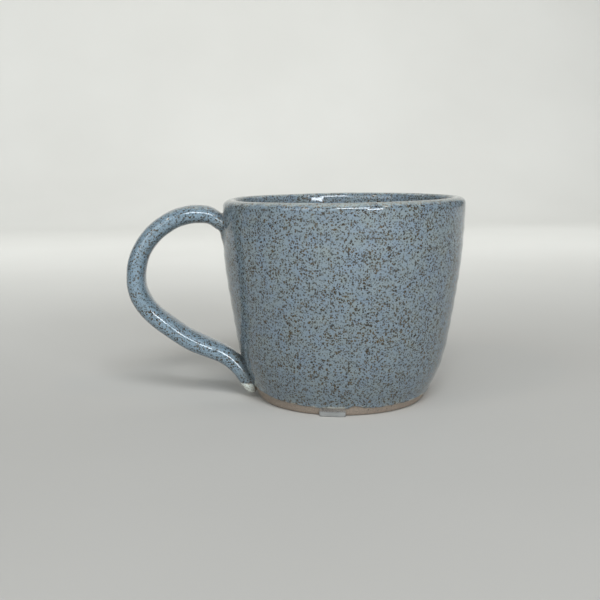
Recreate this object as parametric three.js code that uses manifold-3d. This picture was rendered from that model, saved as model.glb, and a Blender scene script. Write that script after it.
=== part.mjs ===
// A wheel-thrown stoneware mug with a pulled strap handle, in millimetres, +Z up.
// The origin is the middle of the flat foot, on the table. The handle stands out along -X.
// Cup and handle are fired as one piece. A sliver of blank label hangs at the foot's front edge.
import * as THREE from "three";
import { LoftGeometry } from "three/addons/geometries/LoftGeometry.js";
import { mergeVertices } from "three/addons/utils/BufferGeometryUtils.js";
import Module from "manifold-3d";

// Stations of the outer wall, from the foot up: radius, height, and lean outward from upright.
const FOOT = { radius: 31.5, height: 0, lean: 90 };
const KNEE = { radius: 34.9, height: 3.5, lean: 28 };
const BELLY = { radius: 42.65, height: 26, lean: 9.4 };
const NECK = { radius: 48.2, height: 77.7, lean: 2 };
const CURVE_REACH = 0.4;

// The lip is a soft roll on an even wall. The floor inside is level in the middle and turns up
// into the wall in one long curve that starts out over the floor's reach.
const RIM_HEIGHT = 80;
const CREST_RADIUS = 45;
const WALL_THICKNESS = 5;
const FLOOR_HEIGHT = 6.5;
const FLOOR_REACH = 19;

// A hand-thrown wall is never quite true: it is drawn in on the handle's side towards the rim,
// and the whole cup leans away from the handle, with its rim a little higher there.
const PULL_IN = 1.2;
const PULL_START_HEIGHT = 56;
const LEAN = 0.0075;
const RIM_TILT = 0.006;

// Stations of the handle's middle line, in the XZ plane: distance out from the mug's axis,
// height, heading (0 is outward, 90 is up), the reach of the curve before and after,
// and the strap's thickness and width there.
const HANDLE_STATIONS = [
  { out: 45.8, height: 64.5, heading: 80, reachOn: 4, thick: 2.2, wide: 14 },
  { out: 48.5, height: 72.7, heading: 28, reachBack: 3.4, reachOn: 12.6, thick: 6.5, wide: 16.5 },
  { out: 81.2, height: 50, heading: -90, reachBack: 18.9, reachOn: 10.3, thick: 6.8, wide: 15.5 },
  { out: 67.7, height: 28.8, heading: -142.5, reachBack: 10, reachOn: 20.4, thick: 7.5, wide: 13.5 },
  { out: 35.1, height: 2.4, heading: -117.5, reachBack: 24, thick: 6.2, wide: 12 },
];
const STRAP_SQUARENESS = 2.4;
const END_ROUNDING = 4;
const END_FLAT = 0.3;

// The label is a strip bent to the foot's curve, hanging straight down to the table.
const LABEL_BEARING = -104;
const LABEL_WIDTH = 10;
const LABEL_HEIGHT = 3.6;
const LABEL_THICKNESS = 0.5;
const LABEL_CLEARANCE = 0.1;
const GAP = 0.3;

// How finely the curves are cut into facets, and how close two points are when they are one.
const FACETS_AROUND = 64;
const PROFILE_STEPS = { foot: 3, lower: 6, upper: 7, lipOutside: 4, lipInside: 3, inside: 5, floor: 8 };
const STRAP_FACETS = 18;
const STRAP_STEPS = 36;
const END_STEPS = 4;
const LABEL_STEPS = 6;
const SAME_POINT = 1e-3;

const GLAZED_CLAY = new THREE.MeshStandardMaterial({ color: 0x74838c, roughness: 0.2, metalness: 0 });
const LABEL_FILM = new THREE.MeshStandardMaterial({ color: 0xb4bbc2, roughness: 0.5, metalness: 0 });

const wasm = await Module();
wasm.setup();

// A closed geometry as a solid that can be joined to another.
function solidOf(geometry) {
  const bare = new THREE.BufferGeometry().copy(geometry);
  bare.deleteAttribute("normal");
  bare.deleteAttribute("uv");
  const merged = mergeVertices(bare, SAME_POINT);
  const vertProperties = new Float32Array(merged.attributes.position.array);
  const triVerts = new Uint32Array(merged.index.array);
  return new wasm.Manifold(new wasm.Mesh({ numProp: 3, vertProperties, triVerts }));
}

// A joined solid as a three.js geometry.
function geometryOf(solid) {
  const { vertProperties, triVerts } = solid.getMesh();
  const geometry = new THREE.BufferGeometry();
  geometry.setAttribute("position", new THREE.BufferAttribute(vertProperties, 3));
  geometry.setIndex(new THREE.BufferAttribute(triVerts, 1));
  geometry.computeVertexNormals();
  return geometry;
}

// A smooth curve in the profile plane between two stations, leaving and arriving along their leans.
// The reach says how far it runs along each lean, as a length; it is a share of the chord if unsaid.
function wallCurve(from, to, reach) {
  const ahead = (station, distance) => {
    const lean = THREE.MathUtils.degToRad(station.lean);
    return new THREE.Vector2(
      station.radius + distance * Math.sin(lean),
      station.height + distance * Math.cos(lean),
    );
  };
  const chord = Math.hypot(to.radius - from.radius, to.height - from.height);
  const length = reach ?? CURVE_REACH * chord;
  return new THREE.CubicBezierCurve(ahead(from, 0), ahead(from, length), ahead(to, -length), ahead(to, 0));
}

// A quarter turn of an ellipse, starting that many quarter turns round from outward.
function quarterEllipse(centreRadius, centreHeight, across, up, startTurn) {
  const start = startTurn * Math.PI * 0.5;
  return new THREE.EllipseCurve(centreRadius, centreHeight, across, up, start, start + Math.PI * 0.5);
}

const OUTER_WALL = [wallCurve(FOOT, KNEE), wallCurve(KNEE, BELLY), wallCurve(BELLY, NECK)];

// The cup's half section, from the middle of the foot, up the outside, over the lip and down inside.
function cupProfile() {
  const [footTurn, lowerWall, upperWall] = OUTER_WALL;
  const lipHeight = RIM_HEIGHT - NECK.height;
  const lipOutside = quarterEllipse(
    CREST_RADIUS, NECK.height, NECK.radius - CREST_RADIUS, lipHeight, 0);
  const innerTop = NECK.radius - WALL_THICKNESS;
  const lipInside = quarterEllipse(
    CREST_RADIUS, NECK.height, CREST_RADIUS - innerTop, lipHeight, 1);
  const insideNeck = { radius: innerTop, height: NECK.height, lean: NECK.lean };
  const insideBelly = {
    radius: BELLY.radius - WALL_THICKNESS, height: BELLY.height, lean: BELLY.lean };
  const points = [new THREE.Vector2(0, 0)];
  const follow = (curve, steps, backward = false) => {
    const along = curve.getPoints(steps);
    if (backward) along.reverse();
    const last = points[points.length - 1];
    points.push(...along.filter((point) => point.distanceTo(last) > SAME_POINT));
  };
  follow(footTurn, PROFILE_STEPS.foot);
  follow(lowerWall, PROFILE_STEPS.lower);
  follow(upperWall, PROFILE_STEPS.upper);
  follow(lipOutside, PROFILE_STEPS.lipOutside);
  follow(lipInside, PROFILE_STEPS.lipInside);
  follow(wallCurve(insideBelly, insideNeck), PROFILE_STEPS.inside, true);
  const floorStart = { radius: 0, height: FLOOR_HEIGHT, lean: 90 };
  follow(wallCurve(floorStart, insideBelly, FLOOR_REACH), PROFILE_STEPS.floor, true);
  return points;
}

// The profile is turned about the axis, then drawn in, leaned and tilted as it left the wheel.
function cup() {
  const geometry = new THREE.LatheGeometry(cupProfile(), FACETS_AROUND);
  geometry.rotateX(Math.PI / 2);
  const place = geometry.attributes.position;
  for (let i = 0; i < place.count; i += 1) {
    const [x, y, z] = [place.getX(i), place.getY(i), place.getZ(i)];
    const radius = Math.hypot(x, y);
    if (radius === 0) continue;
    const towardsHandle = Math.max(0, -x / radius) ** 2;
    const drawnIn = THREE.MathUtils.smoothstep(z, PULL_START_HEIGHT, RIM_HEIGHT);
    const scale = 1 - (PULL_IN * drawnIn * towardsHandle) / radius;
    const tilted = z * (1 + (RIM_TILT * x) / RIM_HEIGHT);
    place.setXYZ(i, x * scale + LEAN * z, y * scale, tilted);
  }
  return geometry;
}

// One curve of the handle's middle line, between two of its stations.
function strapCurve(from, to) {
  const ahead = (station, distance) => {
    const heading = THREE.MathUtils.degToRad(station.heading);
    return new THREE.Vector3(
      -station.out - distance * Math.cos(heading),
      0,
      station.height + distance * Math.sin(heading),
    );
  };
  return new THREE.CubicBezierCurve3(
    ahead(from, 0), ahead(from, from.reachOn), ahead(to, -to.reachBack), ahead(to, 0));
}

// One oval section of the strap, as wide and thick as it is at that share of the curve.
function strapSection(curve, from, to, share, size) {
  const middle = curve.getPointAt(share);
  const along = curve.getTangentAt(share).normalize();
  const across = new THREE.Vector3(0, 1, 0);
  const outward = across.clone().cross(along);
  const blend = THREE.MathUtils.smoothstep(share, 0, 1);
  const halfThick = 0.5 * THREE.MathUtils.lerp(from.thick, to.thick, blend);
  const halfWide = 0.5 * THREE.MathUtils.lerp(from.wide, to.wide, blend);
  const bow = (value) => Math.sign(value) * Math.abs(value) ** (2 / STRAP_SQUARENESS);
  const section = [];
  for (let i = 0; i < STRAP_FACETS; i += 1) {
    const turn = (i / STRAP_FACETS) * 2 * Math.PI;
    section.push(middle.clone()
      .addScaledVector(outward, size * halfThick * bow(Math.cos(turn)))
      .addScaledVector(across, size * halfWide * bow(Math.sin(turn))));
  }
  return section;
}

// The strap swells out of the wall at its upper root, follows its stations round the loop,
// and closes to a blunt round tip where it is pressed back onto the wall.
function handle() {
  const stretches = HANDLE_STATIONS.slice(1).map((to, i) => {
    const curve = strapCurve(HANDLE_STATIONS[i], to);
    return { from: HANDLE_STATIONS[i], to, curve, length: curve.getLength() };
  });
  const last = stretches[stretches.length - 1];
  const plainShare = 1 - END_ROUNDING / last.length;
  const whole = stretches.reduce((sum, { length }) => sum + length, 0);
  const sections = [];
  for (const stretch of stretches) {
    const { from, to, curve, length } = stretch;
    const span = stretch === last ? plainShare : 1;
    const steps = Math.ceil((STRAP_STEPS * length) / whole);
    for (let step = 0; step < steps; step += 1) {
      sections.push(strapSection(curve, from, to, (span * step) / steps, 1));
    }
  }
  for (let step = 0; step <= END_STEPS; step += 1) {
    const turn = (0.5 * Math.PI * step) / END_STEPS;
    const share = THREE.MathUtils.lerp(plainShare, 1, Math.sin(turn));
    const size = Math.max(END_FLAT, Math.cos(turn));
    sections.push(strapSection(last.curve, last.from, last.to, share, size));
  }
  return new LoftGeometry(sections, { capStart: true, capEnd: true });
}

// A thin curved plate, just clear of the wall at its top and of the table at its bottom.
function label() {
  const inside = KNEE.radius + GAP;
  const outside = inside + LABEL_THICKNESS;
  const sweep = LABEL_WIDTH / outside;
  const bearing = THREE.MathUtils.degToRad(LABEL_BEARING);
  const corners = [
    [inside, LABEL_CLEARANCE],
    [outside, LABEL_CLEARANCE],
    [outside, LABEL_HEIGHT],
    [inside, LABEL_HEIGHT],
  ];
  const sections = [];
  for (let i = 0; i <= LABEL_STEPS; i += 1) {
    const angle = bearing + sweep * (0.5 - i / LABEL_STEPS);
    sections.push(corners.map(([radius, height]) => (
      new THREE.Vector3(radius * Math.cos(angle), radius * Math.sin(angle), height))));
  }
  return new LoftGeometry(sections, { capStart: true, capEnd: true });
}

const mug = new THREE.Mesh(geometryOf(solidOf(cup()).add(solidOf(handle()))), GLAZED_CLAY);
mug.name = "mug";

const labelTab = new THREE.Mesh(label(), LABEL_FILM);
labelTab.name = "label_tab";

const assembly = new THREE.Group();
assembly.add(mug, labelTab);

export default assembly;
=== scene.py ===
import math

import bpy
from mathutils import Matrix, Vector


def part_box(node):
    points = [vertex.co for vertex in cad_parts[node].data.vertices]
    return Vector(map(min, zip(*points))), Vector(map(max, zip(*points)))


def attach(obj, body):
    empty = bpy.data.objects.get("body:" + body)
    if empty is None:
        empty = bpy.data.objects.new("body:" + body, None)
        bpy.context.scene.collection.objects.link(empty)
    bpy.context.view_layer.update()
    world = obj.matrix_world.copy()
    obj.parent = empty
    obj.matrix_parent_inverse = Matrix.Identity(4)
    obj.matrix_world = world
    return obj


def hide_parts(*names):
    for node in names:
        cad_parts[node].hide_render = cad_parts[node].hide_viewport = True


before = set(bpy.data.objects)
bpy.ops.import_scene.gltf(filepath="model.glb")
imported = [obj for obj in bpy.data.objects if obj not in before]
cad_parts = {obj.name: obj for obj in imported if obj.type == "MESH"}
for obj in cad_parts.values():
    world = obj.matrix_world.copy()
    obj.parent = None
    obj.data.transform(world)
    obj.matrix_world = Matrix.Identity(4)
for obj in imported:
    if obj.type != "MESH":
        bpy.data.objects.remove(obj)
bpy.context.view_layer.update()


# ---- The cup ------------------------------------------------------------------------------
# Stoneware thrown on a wheel: one half section turned about the axis. The wall swells out of a
# narrow foot, and the lip is compressed into a soft roll. No ring of it is quite true: it
# wanders, leans away from the handle, and is drawn in where the handle's weight hung on it.

MM = 0.001
FOOT_RADIUS = 31.5 * MM
KNEE = dict(radius=34.9 * MM, height=3.5 * MM, lean=28)
BELLY = dict(radius=42.65 * MM, height=26 * MM, lean=9.4)
NECK = dict(radius=48.2 * MM, height=77.7 * MM, lean=2)
RIM_HEIGHT = 80 * MM
CREST_RADIUS = 45 * MM
WALL = 5 * MM
FLOOR_HEIGHT = 6.5 * MM
SHAFT = 40 * MM  # the ring that the half section is turned on
FLOOR_REACH = 19 * MM  # how far the flat floor runs before it turns up into the wall


def start_tree(name, sockets):
    """A geometry tree with its geometry in and out, and its named inputs."""
    tree = bpy.data.node_groups.new(name, "GeometryNodeTree")
    ports = tree.interface
    ports.new_socket("Geometry", in_out="INPUT", socket_type="NodeSocketGeometry")
    ports.new_socket("Geometry", in_out="OUTPUT", socket_type="NodeSocketGeometry")
    for label, kind, value in sockets:
        socket = ports.new_socket(label, in_out="INPUT", socket_type="NodeSocket" + kind)
        if value is not None:
            socket.default_value = value
    return tree, tree.nodes.new("NodeGroupInput").outputs


def put(tree, kind, inputs=(), **settings):
    """Adds one node, with its settings, its plain values and its links."""
    node = tree.nodes.new(kind)
    for key, value in settings.items():
        setattr(node, key, value)
    for key, value in dict(inputs).items():
        if isinstance(value, bpy.types.NodeSocket):
            tree.links.new(value, node.inputs[key])
        else:
            node.inputs[key].default_value = value
    return node.outputs


def sums(tree, operation, *values):
    """One step of arithmetic on numbers."""
    return put(tree, "ShaderNodeMath", enumerate(values), operation=operation)[0]


def vectors(tree, operation, *values, out=0):
    """One step of arithmetic on vectors."""
    return put(tree, "ShaderNodeVectorMath", enumerate(values), operation=operation)[out]


def scaled(tree, vector, factor):
    return put(tree, "ShaderNodeVectorMath", {0: vector, 3: factor}, operation="SCALE")[0]


def ramp(tree, value, low, high, start=0.0, end=1.0, shape="SMOOTHSTEP"):
    """Runs from start to end as the value goes from low to high."""
    inputs = {0: value, 1: low, 2: high, 3: start, 4: end}
    return put(tree, "ShaderNodeMapRange", inputs, interpolation_type=shape)[0]


def noise(tree, place, size, detail=1.0, out=0):
    """Soft random values whose lumps are about as big as size, in metres."""
    inputs = {"Vector": place, "Scale": 1 / size, "Detail": detail}
    return put(tree, "ShaderNodeTexNoise", inputs)[out]


def end_tree(tree, geometry, material):
    """The last steps of every tree: smooth shading, real mesh, its material."""
    smooth = put(tree, "GeometryNodeSetShadeSmooth", {"Geometry": geometry})[0]
    real = put(tree, "GeometryNodeRealizeInstances", {"Geometry": smooth})[0]
    dressed = put(tree, "GeometryNodeSetMaterial", {"Geometry": real, "Material": material})[0]
    tree.links.new(dressed, tree.nodes.new("NodeGroupOutput").inputs[0])


def wire(name, points, closed=False, **columns):
    """An object whose mesh is one chain of points, with a column of values for each."""
    mesh = bpy.data.meshes.new(name)
    links = [(i, i + 1) for i in range(len(points) - 1)]
    mesh.from_pydata(points, links + ([(len(points) - 1, 0)] if closed else []), [])
    for label, values in columns.items():
        mesh.attributes.new(label, "FLOAT", "POINT").data.foreach_set("value", values)
    made = bpy.data.objects.new(name, mesh)
    bpy.context.scene.collection.objects.link(made)
    return made


def grown(source, tree, name, **values):
    """Runs a tree on an object and keeps the result as a plain mesh object."""
    modifier = source.modifiers.new(tree.name, "NODES")
    modifier.node_group = tree
    for port in tree.interface.items_tree:
        key = port.name.replace(" ", "_").lower()
        if port.in_out == "INPUT" and key in values:
            modifier[port.identifier] = values[key]
    depsgraph = bpy.context.evaluated_depsgraph_get()
    mesh = bpy.data.meshes.new_from_object(source.evaluated_get(depsgraph), depsgraph=depsgraph)
    mesh.name = name
    made = bpy.data.objects.new(name, mesh)
    bpy.context.scene.collection.objects.link(made)
    source.modifiers.remove(modifier)
    bpy.data.objects.remove(source)
    return made


def curve_between(start, end, steps, reach=0.4, crowd=1.0):
    """Points along a smooth bend that leaves and arrives at the stations' leans."""
    def ahead(station, distance):
        lean = math.radians(station["lean"])
        step = Vector((math.sin(lean), math.cos(lean)))
        return Vector((station["radius"], station["height"])) + distance * step
    length = reach * (ahead(end, 0) - ahead(start, 0)).length
    p, q = ahead(start, 0), ahead(start, length)
    r, s = ahead(end, -length), ahead(end, 0)
    points = []
    for i in range(1, steps + 1):
        t = (i / steps) ** crowd
        u = 1 - t
        points.append(u**3 * p + 3 * u * u * t * q + 3 * u * t * t * r + t**3 * s)
    return points


def roll(across, up, start, steps):
    """A quarter turn of the lip's roll."""
    turns = [math.radians(start + 90 * i / steps) for i in range(1, steps + 1)]
    middle = Vector((CREST_RADIUS, NECK["height"]))
    return [middle + Vector((across * math.cos(t), up * math.sin(t))) for t in turns]


def half_section():
    """From the middle of the floor, up the inside, over the lip and down to the foot's middle."""
    foot_edge = dict(radius=FOOT_RADIUS, height=0, lean=90)
    inner_neck = dict(NECK, radius=NECK["radius"] - WALL)
    inner_belly = dict(BELLY, radius=BELLY["radius"] - WALL)
    floor = dict(radius=0, height=FLOOR_HEIGHT, lean=90)
    lip = RIM_HEIGHT - NECK["height"]
    points = [Vector((FOOT_RADIUS * i / 12, 0)) for i in range(13)]
    points += curve_between(foot_edge, KNEE, 16)
    points += curve_between(KNEE, BELLY, 56, crowd=1.5)
    points += curve_between(BELLY, NECK, 52)
    points += roll(NECK["radius"] - CREST_RADIUS, lip, 0, 14)
    points += roll(CREST_RADIUS - inner_neck["radius"], lip, 90, 12)
    down = curve_between(inner_belly, inner_neck, 44)[::-1][1:]
    reach = FLOOR_REACH / math.hypot(inner_belly["radius"], BELLY["height"] - FLOOR_HEIGHT)
    across = curve_between(floor, inner_belly, 40, reach=reach)[::-1]
    return (points + down + across + [Vector((0, FLOOR_HEIGHT))])[::-1]


def thrown_cup_tree():
    tree, given = start_tree("Thrown Cup", [
        ("Facets Around", "Int", 288),
        ("Shaft Radius", "Float", SHAFT),
        ("Rim Height", "Float", RIM_HEIGHT),
        ("Wander", "Float", 0.3 * MM),
        ("Ring Depth", "Float", 0.07 * MM),
        ("Ring Spacing", "Float", 6.5 * MM),
        ("Pull In", "Float", 1.2 * MM),
        ("Pull Start", "Float", 56 * MM),
        ("Lean", "Float", 0.0075),
        ("Rim Tilt", "Float", 0.006),
        ("Rim Dip", "Float", 0.9 * MM),
        ("Clay", "Material", None),
    ])
    section = put(tree, "GeometryNodeMeshToCurve", {"Mesh": given["Geometry"]})[0]
    shaft = put(tree, "GeometryNodeCurvePrimitiveCircle", {
        "Resolution": given["Facets Around"], "Radius": given["Shaft Radius"]})[0]
    turned = put(tree, "GeometryNodeCurveToMesh", {
        "Curve": shaft, "Profile Curve": section})[0]
    shell = put(tree, "GeometryNodeMergeByDistance", {"Geometry": turned, "Distance": 0.01 * MM})[0]
    place = put(tree, "GeometryNodeInputPosition")[0]
    x, y, z = put(tree, "ShaderNodeSeparateXYZ", {0: place})
    flat = put(tree, "ShaderNodeCombineXYZ", {0: x, 1: y})[0]
    radius = vectors(tree, "LENGTH", flat, out=1)
    outward = vectors(tree, "NORMALIZE", flat)
    wander = ramp(tree, noise(tree, place, 55 * MM), 0.3, 0.7, -1, 1, "LINEAR")
    wander = sums(tree, "MULTIPLY", wander, given["Wander"])
    turn = sums(tree, "DIVIDE", sums(tree, "ARCTAN2", y, x), 2 * math.pi)
    climb = sums(tree, "ADD", sums(tree, "DIVIDE", z, given["Ring Spacing"]), turn)
    waver = sums(tree, "MULTIPLY", noise(tree, place, 30 * MM), 1.6)
    rings = sums(tree, "SINE", sums(tree, "MULTIPLY", sums(tree, "ADD", climb, waver), 2 * math.pi))
    rings = sums(tree, "MULTIPLY", rings, given["Ring Depth"])
    rings = sums(tree, "MULTIPLY", rings, ramp(tree, z, 6 * MM, 14 * MM))
    rings = sums(tree, "MULTIPLY", rings, ramp(tree, z, 78 * MM, 70 * MM))
    to_handle = sums(tree, "MAXIMUM", sums(tree, "DIVIDE", sums(tree, "MULTIPLY", x, -1), radius), 0)
    to_handle = sums(tree, "POWER", to_handle, 2)
    high = ramp(tree, z, given["Pull Start"], given["Rim Height"])
    pull = sums(tree, "MULTIPLY", sums(tree, "MULTIPLY", to_handle, high), given["Pull In"])
    swell = sums(tree, "SUBTRACT", sums(tree, "ADD", wander, rings), pull)
    swell = sums(tree, "MULTIPLY", swell, ramp(tree, radius, 3 * MM, 12 * MM))
    swell = sums(tree, "MULTIPLY", swell, ramp(tree, z, 0, 3 * MM))
    lean = sums(tree, "MULTIPLY", z, given["Lean"])
    share = sums(tree, "DIVIDE", z, given["Rim Height"])
    tilt = sums(tree, "MULTIPLY", sums(tree, "MULTIPLY", x, given["Rim Tilt"]), share)
    dip = sums(tree, "SUBTRACT", noise(tree, flat, 60 * MM), 0.5)
    dip = sums(tree, "MULTIPLY", dip, given["Rim Dip"])
    rise = sums(tree, "ADD", tilt, sums(tree, "MULTIPLY", dip, sums(tree, "POWER", share, 3)))
    shift = put(tree, "ShaderNodeCombineXYZ", {0: lean, 2: rise})[0]
    shift = vectors(tree, "ADD", shift, scaled(tree, outward, swell))
    moved = put(tree, "GeometryNodeSetPosition", {"Geometry": shell, "Offset": shift})[0]
    end_tree(tree, moved, given["Clay"])
    return tree


cup_wire = wire("cup_wire", [(p.x - SHAFT, -p.y, 0) for p in half_section()])
cup = grown(cup_wire, thrown_cup_tree(), "cup")


# ---- The handle ---------------------------------------------------------------------------
# A strap pulled by hand from a lump of the same clay, so it is oval and slightly uneven. It
# swells out of the wall below the lip, loops out and down, thins in width towards its lower
# end, and is pressed back onto the wall just above the foot with a blunt round tip.

HANDLE_STATIONS = [
    dict(out=45.8, height=64.5, heading=80, on=4, thick=2.2, wide=14),
    dict(out=48.5, height=71.4, heading=40, back=3.4, on=4, thick=6.2, wide=16.5),
    dict(out=57.5, height=74.3, heading=0, back=4.5, on=11.1, thick=7, wide=16.3),
    dict(out=81.3, height=50, heading=-90, back=13.5, on=10.3, thick=7.3, wide=15.5),
    dict(out=67.7, height=28.8, heading=-142.5, back=10, on=20.4, thick=7.5, wide=13.5),
    dict(out=35.1, height=2.4, heading=-117.5, back=24, thick=6.8, wide=12),
]
RING_SPACING = 0.65
TIP_LENGTH = 4
TIP_RINGS = 14
TIP_END_SIZE = 0.03


def strap_rings():
    """Each ring's middle, thickness and width in metres, from stations in mm and degrees."""
    rings = []
    for start, end in zip(HANDLE_STATIONS, HANDLE_STATIONS[1:]):
        def ahead(station, distance):
            heading = math.radians(station["heading"])
            out = station["out"] + distance * math.cos(heading)
            return Vector((-out, 0, station["height"] + distance * math.sin(heading)))
        p, q = ahead(start, 0), ahead(start, start["on"])
        r, s = ahead(end, -end["back"]), ahead(end, 0)
        last = end is HANDLE_STATIONS[-1]
        span = (s - r).length + (r - q).length + (q - p).length
        tip = TIP_LENGTH / span if last else 0
        steps = round(span / RING_SPACING)
        shares = [((1 - tip) * i / steps, 1) for i in range(steps)]
        if last:
            turns = [0.5 * math.pi * i / TIP_RINGS for i in range(TIP_RINGS + 1)]
            shares += [(1 - tip + tip * math.sin(t), max(TIP_END_SIZE, math.cos(t))) for t in turns]
        for t, size in shares:
            u = 1 - t
            middle = u**3 * p + 3 * u * u * t * q + 3 * u * t * t * r + t**3 * s
            blend = t * t * (3 - 2 * t)
            thick = start["thick"] + (end["thick"] - start["thick"]) * blend
            wide = start["wide"] + (end["wide"] - start["wide"]) * blend
            rings.append((MM * middle, MM * size * thick, MM * size * wide))
    return rings


def pulled_strap_tree():
    tree, given = start_tree("Pulled Strap", [
        ("Sides", "Int", 64),
        ("Squareness", "Float", 2.4),
        ("Unevenness", "Float", 0.14 * MM),
        ("Sway", "Float", 0.5 * MM),
        ("Clay", "Material", None),
    ])
    line = put(tree, "GeometryNodeMeshToCurve", {"Mesh": given["Geometry"]})[0]
    thick = put(tree, "GeometryNodeInputNamedAttribute", {"Name": "thick"})[0]
    wide = put(tree, "GeometryNodeInputNamedAttribute", {"Name": "wide"})[0]
    line = put(tree, "GeometryNodeSetCurveNormal", {
        "Curve": line, "Normal": (0, 1, 0)}, mode="FREE")[0]
    oval = put(tree, "GeometryNodeCurvePrimitiveCircle", {
        "Resolution": given["Sides"], "Radius": 1.0})[0]
    place = put(tree, "GeometryNodeInputPosition")[0]
    power = sums(tree, "DIVIDE", 2, given["Squareness"])
    bowed = []
    for part in put(tree, "ShaderNodeSeparateXYZ", {0: place})[:2]:
        size = sums(tree, "POWER", sums(tree, "ABSOLUTE", part), power)
        bowed.append(sums(tree, "MULTIPLY", sums(tree, "SIGN", part), size))
    bowed = put(tree, "ShaderNodeCombineXYZ", enumerate(bowed))[0]
    oval = put(tree, "GeometryNodeSetPosition", {"Geometry": oval, "Position": bowed})[0]
    strap = put(tree, "GeometryNodeCurveToMesh", {
        "Curve": line, "Profile Curve": oval, "Fill Caps": True,
        "Scale": sums(tree, "MULTIPLY", thick, 0.5)})[0]
    x, y, z = put(tree, "ShaderNodeSeparateXYZ", {0: place})
    spread = sums(tree, "MULTIPLY", y, sums(tree, "DIVIDE", wide, thick))
    along = put(tree, "ShaderNodeCombineXYZ", {0: x, 2: z})[0]
    sway = ramp(tree, noise(tree, along, 28 * MM), 0.3, 0.7, -1, 1, "LINEAR")
    spread = sums(tree, "ADD", spread, sums(tree, "MULTIPLY", sway, given["Sway"]))
    widened = put(tree, "ShaderNodeCombineXYZ", {0: x, 1: spread, 2: z})[0]
    strap = put(tree, "GeometryNodeSetPosition", {"Geometry": strap, "Position": widened})[0]
    lumps = ramp(tree, noise(tree, place, 11 * MM), 0.3, 0.7, -1, 1, "LINEAR")
    lumps = sums(tree, "MULTIPLY", lumps, given["Unevenness"])
    normal = put(tree, "GeometryNodeInputNormal")[0]
    strap = put(tree, "GeometryNodeSetPosition", {
        "Geometry": strap, "Offset": scaled(tree, normal, lumps)})[0]
    end_tree(tree, strap, given["Clay"])
    return tree


rings = strap_rings()
strap_wire = wire(
    "strap_wire", [ring[0] for ring in rings],
    thick=[ring[1] for ring in rings], wide=[ring[2] for ring in rings])
strap = grown(strap_wire, pulled_strap_tree(), "strap")


# ---- Joined, fired and glazed -------------------------------------------------------------
# Cup and strap are one body once they are fired: the joins are smoothed over with a wet finger.
# The mug is dipped in a blue-grey glaze that stops in a ragged bead above the foot, which
# stays bare. Iron in the clay burns through the glaze as dark and rusty specks.

LINE_NOTCH_BEARING = math.radians(-89)
LINE_NOTCH_WIDTH = math.radians(5)


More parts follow.
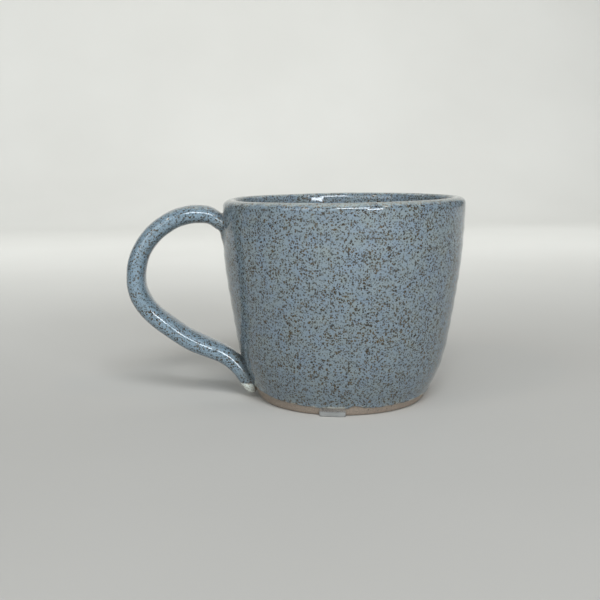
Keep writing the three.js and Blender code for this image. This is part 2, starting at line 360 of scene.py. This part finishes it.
def joined_and_glazed_tree():
    tree, given = start_tree("Joined And Glazed", [
        ("Strap", "Object", None),
        ("Fillet", "Float", 3.2 * MM),
        ("Fillet Passes", "Int", 10),
        ("Low Fillet Share", "Float", 0.04),
        ("Top Fillet Share", "Float", 0.1),
        ("Glaze Line", "Float", 4.4 * MM),
        ("Line Raggedness", "Float", 0.65 * MM),
        ("Line Notch", "Float", 1.1 * MM),
        ("Line Rise At Back", "Float", 1.2 * MM),
        ("Line Rise At Handle", "Float", 1.8 * MM),
        ("Glaze Thickness", "Float", 0.3 * MM),
        ("Glaze Bead", "Float", 0.16 * MM),
        ("Crest Edge", "Float", 0.2),
        ("Tip Thin Below", "Float", 8.0 * MM),
        ("Tip Line Drop", "Float", 4.2 * MM),
        ("Finish", "Material", None),
    ])
    place = put(tree, "GeometryNodeInputPosition")[0]
    normal = put(tree, "GeometryNodeInputNormal")[0]
    x, y, z = put(tree, "ShaderNodeSeparateXYZ", {0: place})
    outward = put(tree, "ShaderNodeCombineXYZ", {0: x, 1: y})[0]
    outward = vectors(tree, "NORMALIZE", outward)
    strap_shape = put(tree, "GeometryNodeObjectInfo", {"Object": given["Strap"]})["Geometry"]
    soft = ramp(tree, z, 10 * MM, 26 * MM, given["Low Fillet Share"], 1)
    sharp_top = ramp(tree, z, 70 * MM, 74 * MM, 1, given["Top Fillet Share"])
    soft = sums(tree, "MULTIPLY", soft, sharp_top)

    def swollen(body, other, where):
        away = put(tree, "GeometryNodeProximity", {"Geometry": other})["Distance"]
        near = ramp(tree, away, 0, given["Fillet"], 1, 0, "LINEAR")
        rise = sums(tree, "MULTIPLY", sums(tree, "POWER", near, 2), given["Fillet"])
        rise = sums(tree, "MULTIPLY", sums(tree, "MULTIPLY", rise, 0.25), where)
        rise = sums(tree, "MULTIPLY", rise, soft)
        offset = scaled(tree, normal, rise)
        return put(tree, "GeometryNodeSetPosition", {"Geometry": body, "Offset": offset})[0]

    outside = vectors(tree, "DOT_PRODUCT", normal, outward, out=1)
    outside = sums(tree, "GREATER_THAN", outside, 0)
    cup_body = swollen(given["Geometry"], strap_shape, outside)
    strap_body = swollen(strap_shape, given["Geometry"], 1.0)
    union = put(tree, "GeometryNodeMeshBoolean", {"Mesh 2": strap_body},
                operation="UNION", solver="MANIFOLD")[0]
    tree.links.new(cup_body, union.node.inputs["Mesh 2"])
    body = put(tree, "GeometryNodeMergeByDistance", {"Geometry": union, "Distance": 0.08 * MM})[0]
    from_strap = put(tree, "GeometryNodeProximity", {"Geometry": strap_body})["Distance"]
    from_cup = put(tree, "GeometryNodeProximity", {"Geometry": cup_body})["Distance"]
    apart = sums(tree, "MAXIMUM", from_strap, from_cup)
    reach = sums(tree, "MULTIPLY", given["Fillet"], 0.9)
    joint = ramp(tree, apart, sums(tree, "MULTIPLY", given["Fillet"], 0.15), reach, 1, 0)
    body = put(tree, "GeometryNodeStoreNamedAttribute", {
        "Geometry": body, "Name": "joint", "Value": joint})[0]
    on_tip = ramp(tree, from_cup, 0.1 * MM, 0.9 * MM)
    tip = sums(tree, "SUBTRACT", given["Tip Thin Below"], z)
    tip = sums(tree, "MULTIPLY", ramp(tree, tip, 0, 2.5 * MM), on_tip)
    body = put(tree, "GeometryNodeStoreNamedAttribute", {
        "Geometry": body, "Name": "tip", "Value": tip})[0]
    on_strap = ramp(tree, from_cup, 1 * MM, 6 * MM)
    body = put(tree, "GeometryNodeStoreNamedAttribute", {
        "Geometry": body, "Name": "strap", "Value": on_strap})[0]
    weight = put(tree, "GeometryNodeInputNamedAttribute", {"Name": "joint"})[0]
    weight = sums(tree, "MULTIPLY", weight, soft)
    wiped = put(tree, "GeometryNodeBlurAttribute", {
        0: place, "Iterations": given["Fillet Passes"], "Weight": weight},
        data_type="FLOAT_VECTOR")[0]
    body = put(tree, "GeometryNodeSetPosition", {"Geometry": body, "Position": wiped})[0]

    ux, uy, _ = put(tree, "ShaderNodeSeparateXYZ", {0: outward})
    to_handle = sums(tree, "POWER", sums(tree, "MAXIMUM", sums(tree, "MULTIPLY", ux, -1), 0), 4)
    back_rise = sums(tree, "MULTIPLY", uy, given["Line Rise At Back"])
    line = sums(tree, "ADD", given["Glaze Line"], back_rise)
    line = sums(tree, "ADD", line, sums(tree, "MULTIPLY", to_handle, given["Line Rise At Handle"]))
    notch = (math.cos(LINE_NOTCH_BEARING), math.sin(LINE_NOTCH_BEARING), 0)
    facing = vectors(tree, "DOT_PRODUCT", outward, notch, out=1)
    notch = ramp(tree, facing, math.cos(LINE_NOTCH_WIDTH), 1)
    line = sums(tree, "ADD", line, sums(tree, "MULTIPLY", notch, given["Line Notch"]))
    line = sums(tree, "SUBTRACT", line, sums(tree, "MULTIPLY", on_tip, given["Tip Line Drop"]))
    for size, share in ((5 * MM, 2.0), (1.6 * MM, 1.0)):
        ragged = sums(tree, "SUBTRACT", noise(tree, place, size, 2), 0.5)
        ragged = sums(tree, "MULTIPLY", ragged, share)
        ragged = sums(tree, "MULTIPLY", ragged, given["Line Raggedness"])
        line = sums(tree, "ADD", line, ragged)
    above = sums(tree, "SUBTRACT", z, line)
    body = put(tree, "GeometryNodeStoreNamedAttribute", {
        "Geometry": body, "Name": "above_line", "Value": above})[0]
    above = put(tree, "GeometryNodeInputNamedAttribute", {"Name": "above_line"})[0]
    cover = ramp(tree, above, -0.1 * MM, 0.45 * MM, -0.5, 0.5)
    coat = sums(tree, "MULTIPLY", cover, given["Glaze Thickness"])
    bead = sums(tree, "MULTIPLY", ramp(tree, above, 0, 0.5 * MM), given["Glaze Bead"])
    bead = sums(tree, "MULTIPLY", bead, ramp(tree, above, 0.6 * MM, 2 * MM, 1, 0))
    coat = sums(tree, "ADD", coat, bead)
    coat = sums(tree, "MULTIPLY", coat, ramp(tree, z, 0.1 * MM, 1.4 * MM))
    body = put(tree, "GeometryNodeSetPosition", {
        "Geometry": body, "Offset": scaled(tree, normal, coat)})[0]
    facing_up = put(tree, "ShaderNodeSeparateXYZ", {0: normal})[2]
    crest = ramp(tree, facing_up, given["Crest Edge"], 1)
    crest = sums(tree, "MULTIPLY", crest, ramp(tree, z, 77.9 * MM, 78.6 * MM))
    # The strap's top is paler on the faces that look up: partly thin glaze on its crown, partly a
    # painted reflection of the pale board behind.
    strap_top_glaze_and_sheen = put(tree, "GeometryNodeInputNamedAttribute", {"Name": "strap"})[0]
    strap_top_glaze_and_sheen = sums(tree, "MULTIPLY", strap_top_glaze_and_sheen, ramp(tree, facing_up, 0.55, 1, 0, 0.7))
    strap_top_glaze_and_sheen = sums(tree, "MULTIPLY", strap_top_glaze_and_sheen, ramp(tree, z, 62 * MM, 72 * MM))
    crest = sums(tree, "MAXIMUM", crest, strap_top_glaze_and_sheen)
    body = put(tree, "GeometryNodeStoreNamedAttribute", {
        "Geometry": body, "Name": "crest", "Value": crest})[0]
    end_tree(tree, body, given["Finish"])
    return tree


def start_group(name, given, made):
    """A shader group with named numbers, vectors and colours in and out."""
    group = bpy.data.node_groups.new(name, "ShaderNodeTree")
    for label, kind, value in given:
        socket = group.interface.new_socket(label, in_out="INPUT", socket_type="NodeSocket" + kind)
        if value is not None:
            socket.default_value = value
    for label, kind in made:
        group.interface.new_socket(label, in_out="OUTPUT", socket_type="NodeSocket" + kind)
    return group, group.nodes.new("NodeGroupInput").outputs


def end_group(group, **results):
    end = group.nodes.new("NodeGroupOutput")
    for label, socket in results.items():
        group.links.new(socket, end.inputs[label])


def iron_specks_group():
    """Specks where iron grains burn through: a ragged dot in some cells of a random foam."""
    group, given = start_group("Iron Specks", [
        ("Place", "Vector", None),
        ("Spacing", "Float", 1.0 * MM),
        ("Size", "Float", 0.45),
        ("Share", "Float", 0.75),
        ("Raggedness", "Float", 1.2),
    ], [("Mask", "Float"), ("Tone", "Float")])
    grid = sums(group, "DIVIDE", 1, given["Spacing"])
    place = scaled(group, given["Place"], grid)
    jitter = put(group, "ShaderNodeTexNoise", {"Vector": place, "Scale": 1.6, "Detail": 1.5})["Color"]
    jitter = vectors(group, "SUBTRACT", jitter, (0.5, 0.5, 0.5))
    place = vectors(group, "ADD", place, scaled(group, jitter, given["Raggedness"]))
    cells = put(group, "ShaderNodeTexVoronoi", {"Vector": place, "Scale": 1.0})
    chance, tone, depth = put(group, "ShaderNodeSeparateColor", {0: cells["Color"]})
    least = sums(group, "SUBTRACT", 1, given["Share"])
    grain = sums(group, "POWER", ramp(group, chance, least, 1, 0, 1, "LINEAR"), 0.5)
    grain = sums(group, "MULTIPLY", grain, given["Size"])
    inside = sums(group, "SUBTRACT", grain, cells["Distance"])
    mask = ramp(group, inside, -0.01, 0.04)
    mask = sums(group, "MULTIPLY", mask, ramp(group, depth, 0, 0.5, 0.7, 1, "LINEAR"))
    end_group(group, Mask=mask, Tone=tone)
    return group


def mottle_group():
    """Slow clouds of tone, as where a glaze ran thicker or thinner."""
    group, given = start_group("Glaze Mottle", [
        ("Place", "Vector", None),
        ("Size", "Float", 9 * MM),
        ("Contrast", "Float", 1.0),
    ], [("Cloud", "Float")])
    scale = sums(group, "DIVIDE", 1, given["Size"])
    cloud = put(group, "ShaderNodeTexNoise", {
        "Vector": given["Place"], "Scale": scale, "Detail": 3, "Roughness": 0.55})[0]
    cloud = sums(group, "MULTIPLY", sums(group, "SUBTRACT", cloud, 0.5), given["Contrast"])
    cloud = sums(group, "ADD", cloud, 0.5)
    end_group(group, Cloud=ramp(group, cloud, 0.2, 0.8, 0, 1, "LINEAR"))
    return group


def use(tree, group, **values):
    """Places a shader group in a material."""
    node = tree.nodes.new("ShaderNodeGroup")
    node.node_tree = group
    for label, value in values.items():
        if isinstance(value, bpy.types.NodeSocket):
            tree.links.new(value, node.inputs[label])
        else:
            node.inputs[label].default_value = value
    return node.outputs


def mixed(tree, factor, low, high):
    """A colour between two colours."""
    return put(tree, "ShaderNodeMix", {0: factor, 6: low, 7: high}, data_type="RGBA")[2]


def start_material(name):
    material = bpy.data.materials.new(name)
    material.use_nodes = True
    tree = material.node_tree
    tree.nodes.clear()
    surface = tree.nodes.new("ShaderNodeBsdfPrincipled")
    end = tree.nodes.new("ShaderNodeOutputMaterial")
    tree.links.new(surface.outputs[0], end.inputs["Surface"])
    return material, tree, surface


GLAZE_BLUE = (0.165, 0.217, 0.264, 1)
GLAZE_GREY = (0.188, 0.226, 0.231, 1)
# Dark blue-grey used both for glaze pooled in the joints and for painted shade.
GLAZE_POOLED_AND_SHADE = (0.07, 0.085, 0.095, 1)
GLAZE_STRAP = (0.185, 0.256, 0.306, 1)
GLAZE_THIN = (0.37, 0.41, 0.39, 1)
GLAZE_TIP = (0.72, 0.75, 0.68, 1)
GLAZE_FRINGE = (0.42, 0.40, 0.33, 1)
GLAZE_EDGE = (0.06, 0.045, 0.032, 1)
IRON_DARK = (0.007, 0.005, 0.003, 1)
IRON_RUST = (0.066, 0.042, 0.013, 1)
IRON_THREAD = (0.040, 0.032, 0.016, 1)
IRON_TAN = (0.20, 0.115, 0.055, 1)
SPECK_LAYERS = [
    dict(Spacing=0.75 * MM, Size=0.46, Share=0.95, Raggedness=0.6),
    dict(Spacing=0.95 * MM, Size=0.50, Share=0.95, Raggedness=0.7),
    dict(Spacing=1.8 * MM, Size=0.30, Share=0.9, Raggedness=1.2),
]
SPECKS_LEFT_ON_STRAP = [0.45, 1, 1]
PITTED_LAYER = 1  # the layer of specks that also leaves pits
PIT_DEPTH = 0.005 * MM
PEEL_HEIGHT = 0.026 * MM
# Painted shade and reflection: between these two heights the glaze is painted darker towards the
# foot.
LOW_SHADE_TOP = 62 * MM
LOW_SHADE_FOOT = 4 * MM
GLAZE_IOR = 1.58
CLAY_BUFF = (0.305, 0.245, 0.19, 1)
CLAY_GREY = (0.215, 0.172, 0.137, 1)
CLAY_TOOTH = 0.10 * MM
CRUMB_SIZE = 0.4 * MM

iron_specks = iron_specks_group()
mottle = mottle_group()


def glazed_stoneware():
    material, tree, surface = start_material("Speckled Glaze On Stoneware")
    surface.inputs["IOR"].default_value = GLAZE_IOR
    place = put(tree, "ShaderNodeTexCoord")["Object"]
    x, y, z = put(tree, "ShaderNodeSeparateXYZ", {0: place})
    above = put(tree, "ShaderNodeAttribute", attribute_name="above_line")["Fac"]
    joint = put(tree, "ShaderNodeAttribute", attribute_name="joint")["Fac"]

    cloud = use(tree, mottle, Place=place, Size=5 * MM, Contrast=1.7)["Cloud"]
    colour = mixed(tree, cloud, GLAZE_BLUE, GLAZE_GREY)
    # Painted shade and reflection: the lower wall is painted darker towards the foot, as a dark floor
    # mirrored in the glaze would make it.
    low_shade = ramp(tree, z, LOW_SHADE_TOP, LOW_SHADE_FOOT, 0, 0.3, "LINEAR")
    colour = mixed(tree, low_shade, colour, GLAZE_POOLED_AND_SHADE)
    strap = put(tree, "ShaderNodeAttribute", attribute_name="strap")["Fac"]
    colour = mixed(tree, sums(tree, "MULTIPLY", strap, 0.8), colour, GLAZE_STRAP)
    crest = put(tree, "ShaderNodeAttribute", attribute_name="crest")["Fac"]
    wisps = sums(tree, "SUBTRACT", noise(tree, place, 2.5 * MM, 3), 0.5)
    crest = sums(tree, "ADD", crest, sums(tree, "MULTIPLY", wisps, 1.3))
    crest = ramp(tree, crest, 0.4, 1.05)
    tip = put(tree, "ShaderNodeAttribute", attribute_name="tip")["Fac"]
    tip = sums(tree, "ADD", tip, sums(tree, "MULTIPLY", wisps, 0.5))
    tip = ramp(tree, tip, 0.3, 0.7)
    thin = sums(tree, "MAXIMUM", crest, tip)
    colour = mixed(tree, sums(tree, "MULTIPLY", crest, 0.8), colour, GLAZE_THIN)
    colour = mixed(tree, sums(tree, "MULTIPLY", tip, 0.9), colour, GLAZE_TIP)
    # Darker where strap meets wall: partly glaze pooled in the crease, partly painted shade in the
    # crease.
    pooled_and_shade = sums(tree, "MULTIPLY", joint, 0.35)
    colour = mixed(tree, pooled_and_shade, colour, GLAZE_POOLED_AND_SHADE)

    patchy = ramp(tree, noise(tree, place, 9 * MM, 2), 0.35, 0.65, 0.8, 1.0, "LINEAR")
    patchy = sums(tree, "MULTIPLY", patchy, ramp(tree, thin, 0, 1, 1, 0.6, "LINEAR"))
    masks = []
    for sizes, left in zip(SPECK_LAYERS, SPECKS_LEFT_ON_STRAP):
        layer = use(tree, iron_specks, Place=place, **sizes)
        iron = mixed(tree, layer["Tone"], IRON_DARK, IRON_RUST)
        iron = mixed(tree, thin, iron, IRON_TAN)
        shown = sums(tree, "MULTIPLY", layer["Mask"], patchy)
        shown = sums(tree, "MULTIPLY", shown, ramp(tree, strap, 0, 1, 1, left, "LINEAR"))
        colour = mixed(tree, shown, colour, iron)
        masks.append(layer["Mask"])
    threads = ramp(tree, noise(tree, place, 0.65 * MM, 0.5), 0.60, 0.65)
    threads = sums(tree, "MULTIPLY", threads, patchy)
    colour = mixed(tree, sums(tree, "MULTIPLY", threads, 0.5), colour, IRON_THREAD)
    runs = ramp(tree, noise(tree, place, 4 * MM, 3), 0.47, 0.6)
    edge = sums(tree, "MULTIPLY", ramp(tree, above, 0.9 * MM, 0.1 * MM), 0.6)
    colour = mixed(tree, edge, colour, GLAZE_EDGE)
    fringe = sums(tree, "MULTIPLY", ramp(tree, above, 1.5 * MM, 0.4 * MM), runs)
    colour = mixed(tree, sums(tree, "MULTIPLY", fringe, 0.75), colour, GLAZE_FRINGE)

    grain = noise(tree, place, 0.6 * MM, 3)
    clay = mixed(tree, ramp(tree, grain, 0.3, 0.7), CLAY_GREY, CLAY_BUFF)
    flecks = use(tree, iron_specks, Place=place, Spacing=1.9 * MM, Size=0.2, Share=0.5,
                 Raggedness=0.6)
    clay = mixed(tree, sums(tree, "MULTIPLY", flecks["Mask"], 0.8), clay, IRON_DARK)
    crumbs = sums(tree, "SUBTRACT", noise(tree, place, 0.7 * MM, 2), 0.5)
    crumbs = sums(tree, "MULTIPLY", crumbs, CRUMB_SIZE)
    cover = ramp(tree, sums(tree, "ADD", above, crumbs), -0.05 * MM, 0.1 * MM)
    tree.links.new(mixed(tree, cover, clay, colour), surface.inputs["Base Color"])

    gloss = ramp(tree, cloud, 0, 1, 0.04, 0.09, "LINEAR")
    dull = ramp(tree, cover, 0, 1, 0.85, 0, "LINEAR")
    tree.links.new(sums(tree, "MAXIMUM", gloss, dull), surface.inputs["Roughness"])

    radius = vectors(tree, "LENGTH", put(tree, "ShaderNodeCombineXYZ", {0: x, 1: y})[0], out=1)
    trimmed = put(tree, "ShaderNodeCombineXYZ", {0: radius, 2: z})[0]
    turning = sums(tree, "MULTIPLY", noise(tree, trimmed, 0.7 * MM, 2), 0.5)
    rough = sums(tree, "MULTIPLY", sums(tree, "ADD", turning, grain), CLAY_TOOTH)
    peel = sums(tree, "MULTIPLY", noise(tree, place, 3.2 * MM, 1), PEEL_HEIGHT)
    pits = sums(tree, "MULTIPLY", masks[PITTED_LAYER], -PIT_DEPTH)
    relief = sums(tree, "ADD", peel, pits)
    relief = put(tree, "ShaderNodeMix", {0: cover, 2: rough, 3: relief})[0]
    bump = put(tree, "ShaderNodeBump", {"Strength": 1.0, "Distance": 1.0, "Height": relief})[0]
    tree.links.new(bump, surface.inputs["Normal"])
    return material


mug = grown(cup, joined_and_glazed_tree(), "glazed_mug", strap=strap, finish=glazed_stoneware())
bpy.data.objects.remove(strap)
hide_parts("mug")
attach(mug, "root")


# ---- The label ----------------------------------------------------------------------------
# What is left of a blank sticker: a strip of thin milky film at the foot's front edge. Its top
# is pressed into the glaze edge, and below that it hangs to the table, clear of the foot,
# which curves in behind it.

LABEL_BEARING = math.radians(-103.4)
LABEL_WIDTH = 10 * MM
LABEL_THICKNESS = 0.16 * MM
LABEL_CLEARANCE = 0.3 * MM
LABEL_LEAN = 0.9 * MM
LABEL_WAVE = 0.1 * MM
LABEL_COLUMNS = 28
LABEL_ROWS = 12
FILM_DULL = (0.25, 0.25, 0.24, 1)
FILM_MILKY = (0.31, 0.31, 0.295, 1)
FILM_FADE_START = 1.5 * MM
FILM_FADE_END = 2.6 * MM
FIBRE_HEIGHT = 0.02 * MM


def hanging_label():
    low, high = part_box("label_tab")
    top = high[2] + 0.2 * MM
    hang = KNEE["radius"] + LABEL_CLEARANCE
    rows = []
    for j in range(LABEL_ROWS + 1):
        share = j / LABEL_ROWS
        height = low[2] + (top - low[2]) * share
        rows.append((hang - LABEL_LEAN * (1 - share) ** 1.5, height))
    points = []
    for radius, height in rows:
        for i in range(LABEL_COLUMNS + 1):
            across = i / LABEL_COLUMNS - 0.5
            bearing = LABEL_BEARING + across * LABEL_WIDTH / hang
            wavy = radius + LABEL_WAVE * math.sin(7 * across + height / (1.7 * MM))
            points.append((wavy * math.cos(bearing), wavy * math.sin(bearing), height))
    width = LABEL_COLUMNS + 1
    faces = []
    for j in range(LABEL_ROWS):
        for i in range(LABEL_COLUMNS):
            corner = j * width + i
            faces.append((corner, corner + 1, corner + width + 1, corner + width))
    mesh = bpy.data.meshes.new("foot_label")
    mesh.from_pydata(points, [], faces)
    mesh.shade_smooth()
    made = bpy.data.objects.new("foot_label", mesh)
    bpy.context.scene.collection.objects.link(made)
    film = made.modifiers.new("Film", "SOLIDIFY")
    film.thickness = LABEL_THICKNESS
    film.offset = 0
    return made


def milky_film():
    material, tree, surface = start_material("Milky Label Film")
    place = put(tree, "ShaderNodeTexCoord")["Object"]
    z = put(tree, "ShaderNodeSeparateXYZ", {0: place})[2]
    cloud = use(tree, mottle, Place=place, Size=2 * MM, Contrast=1.0)["Cloud"]
    colour = mixed(tree, cloud, FILM_DULL, FILM_MILKY)
    tree.links.new(colour, surface.inputs["Base Color"])
    fade = ramp(tree, z, FILM_FADE_START, FILM_FADE_END, 0.9, 0.15)
    tree.links.new(fade, surface.inputs["Alpha"])
    surface.inputs["Roughness"].default_value = 0.4
    fibre = sums(tree, "MULTIPLY", noise(tree, place, 0.5 * MM, 2), FIBRE_HEIGHT)
    bump = put(tree, "ShaderNodeBump", {"Strength": 1.0, "Distance": 1.0, "Height": fibre})[0]
    tree.links.new(bump, surface.inputs["Normal"])
    return material


label = hanging_label()
label.data.materials.append(milky_film())
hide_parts("label_tab")
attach(label, "root")


# ---- The studio ---------------------------------------------------------------------------
# A plain pale sweep of board under and behind the mug. A wide window and a tall pane light it
# from the front, with a soft fill from the left, a wash on the board behind, and two small
# warm lamps.

SWEEP_HALF_WIDTH = 1.0
SWEEP_FRONT = -1.6
SWEEP_BACK = 0.9
SWEEP_BEND = 0.5
SWEEP_TOP = 1.8
SWEEP_STEPS = 24
BOARD_LOW = (0.51, 0.49, 0.455, 1)
BOARD_HIGH = (0.54, 0.52, 0.485, 1)


def pale_board():
    material, tree, surface = start_material("Pale Board")
    place = put(tree, "ShaderNodeTexCoord")["Object"]
    tone = ramp(tree, noise(tree, place, 0.25, 3), 0.3, 0.7, 0, 1, "LINEAR")
    colour = mixed(tree, tone, BOARD_LOW, BOARD_HIGH)
    tree.links.new(colour, surface.inputs["Base Color"])
    surface.inputs["Roughness"].default_value = 0.9
    return material


def sweep():
    profile = [(SWEEP_FRONT, 0), (SWEEP_BACK, 0)]
    for i in range(1, SWEEP_STEPS + 1):
        turn = 0.5 * math.pi * i / SWEEP_STEPS
        bend = SWEEP_BEND * (1 - math.cos(turn))
        profile.append((SWEEP_BACK + SWEEP_BEND * math.sin(turn), bend))
    profile.append((SWEEP_BACK + SWEEP_BEND, SWEEP_TOP))
    sides = (-SWEEP_HALF_WIDTH, SWEEP_HALF_WIDTH)
    points = [(x, y, z) for y, z in profile for x in sides]
    faces = [(2 * i, 2 * i + 1, 2 * i + 3, 2 * i + 2) for i in range(len(profile) - 1)]
    mesh = bpy.data.meshes.new("sweep")
    mesh.from_pydata(points, [], faces)
    mesh.shade_smooth()
    made = bpy.data.objects.new("sweep", mesh)
    bpy.context.scene.collection.objects.link(made)
    made.data.materials.append(pale_board())
    return made


def softbox(name, azimuth, elevation, distance, width, height, power, colour,
            middle=Vector((0, 0, 0.05))):
    """A light that looks at the middle from a bearing; azimuth 0 is in front, 90 to its right."""
    light = bpy.data.lights.new(name, "AREA")
    light.shape = "RECTANGLE"
    light.size = width
    light.size_y = height
    light.energy = power
    light.color = colour
    made = bpy.data.objects.new(name, light)
    a, e = math.radians(azimuth), math.radians(elevation)
    away = Vector((math.sin(a) * math.cos(e), -math.cos(a) * math.cos(e), math.sin(e)))
    made.location = middle + distance * away
    made.rotation_mode = "QUATERNION"
    made.rotation_quaternion = away.to_track_quat("Z", "Y")
    bpy.context.scene.collection.objects.link(made)


sweep()
WARM = (1.0, 0.74, 0.48)
BOARD_BEHIND = Vector((0, 1.15, 0.05))
softbox("window", 2, 43, 1.5, 0.70, 0.36, 13.5, (0.90, 0.95, 1.0))
softbox("tall_pane", 21, 13, 1.5, 0.38, 0.58, 11, (0.88, 0.94, 1.0))
softbox("left_fill", -42, 22, 1.8, 1.6, 1.2, 13, (0.86, 0.94, 1.0))
softbox("back_wash", 0, 42, 0.9, 2.2, 0.3, 13, (0.93, 0.98, 1.0), BOARD_BEHIND)
softbox("lamp_left", -52, 48, 1.2, 0.10, 0.06, 0.5, WARM)
softbox("lamp_right", 48, 55, 1.2, 0.10, 0.06, 0.5, WARM)

ROOM_COLOUR = (0.83, 0.90, 0.92, 1)
ROOM_STRENGTH = 0.18

world = bpy.data.worlds.new("room")
world.use_nodes = True
backdrop = world.node_tree.nodes["Background"]
backdrop.inputs["Color"].default_value = ROOM_COLOUR
backdrop.inputs["Strength"].default_value = ROOM_STRENGTH
bpy.context.scene.world = world
bpy.context.scene.view_settings.view_transform = "Standard"

CAMERA_AZIMUTH = math.radians(-8)
CAMERA_DISTANCE = 0.3521
CAMERA_HEIGHT = 0.0956
CAMERA_HEADING = math.radians(-5.3)
CAMERA_PITCH = math.radians(-9.15)
CAMERA_ROLL = math.radians(-0.49)
LENS_LENGTH = 52.8
SENSOR_WIDTH = 36

lens = bpy.data.cameras.new("camera")
lens.lens = LENS_LENGTH
lens.sensor_width = SENSOR_WIDTH
lens.clip_start = 0.01
camera = bpy.data.objects.new("camera", lens)
aim = Matrix.Rotation(CAMERA_HEADING, 4, "Z") @ Matrix.Rotation(0.5 * math.pi + CAMERA_PITCH, 4, "X")
stand = Vector((math.sin(CAMERA_AZIMUTH), -math.cos(CAMERA_AZIMUTH), 0)) * CAMERA_DISTANCE
stand.z = CAMERA_HEIGHT
camera.matrix_world = Matrix.Translation(stand) @ aim @ Matrix.Rotation(CAMERA_ROLL, 4, "Z")
bpy.context.scene.collection.objects.link(camera)
bpy.context.scene.camera = camera
